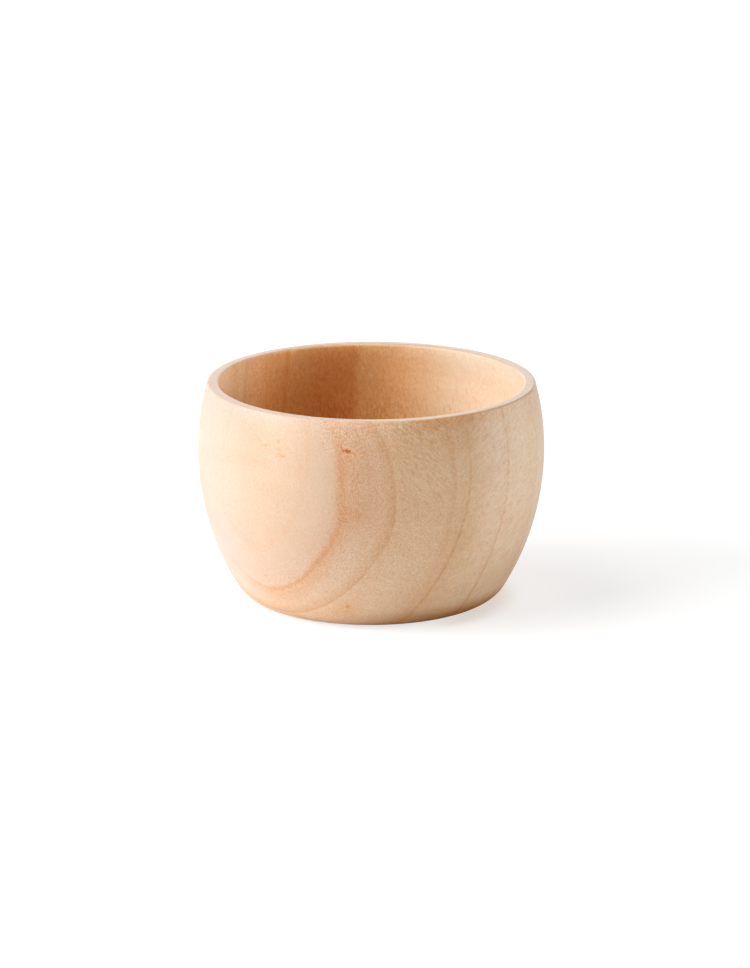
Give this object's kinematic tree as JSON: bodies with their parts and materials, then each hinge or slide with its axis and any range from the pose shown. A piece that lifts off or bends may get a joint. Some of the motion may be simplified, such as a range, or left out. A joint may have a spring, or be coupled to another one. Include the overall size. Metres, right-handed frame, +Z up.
{
  "type": "egg cup",
  "caption": "Low barrel-shaped egg cup turned from a single block of pale hardwood, with a thin flat rim, a rounded hollow for a boiled egg and a flat foot.",
  "frame": {"origin": "centre of the flat foot, on the surface that the cup stands on", "axes": "+Z up along the axis that the cup is turned about; X and Y lie in the plane of the foot"},
  "size_m": [0.05, 0.05, 0.0318],
  "materials": {
    "wood": "bare, fine-sanded pale hardwood with growth rings, small pores and pin knots"
  },
  "bodies": {
    "root": {"cup": "wood"}
  },
  "joints": []
}
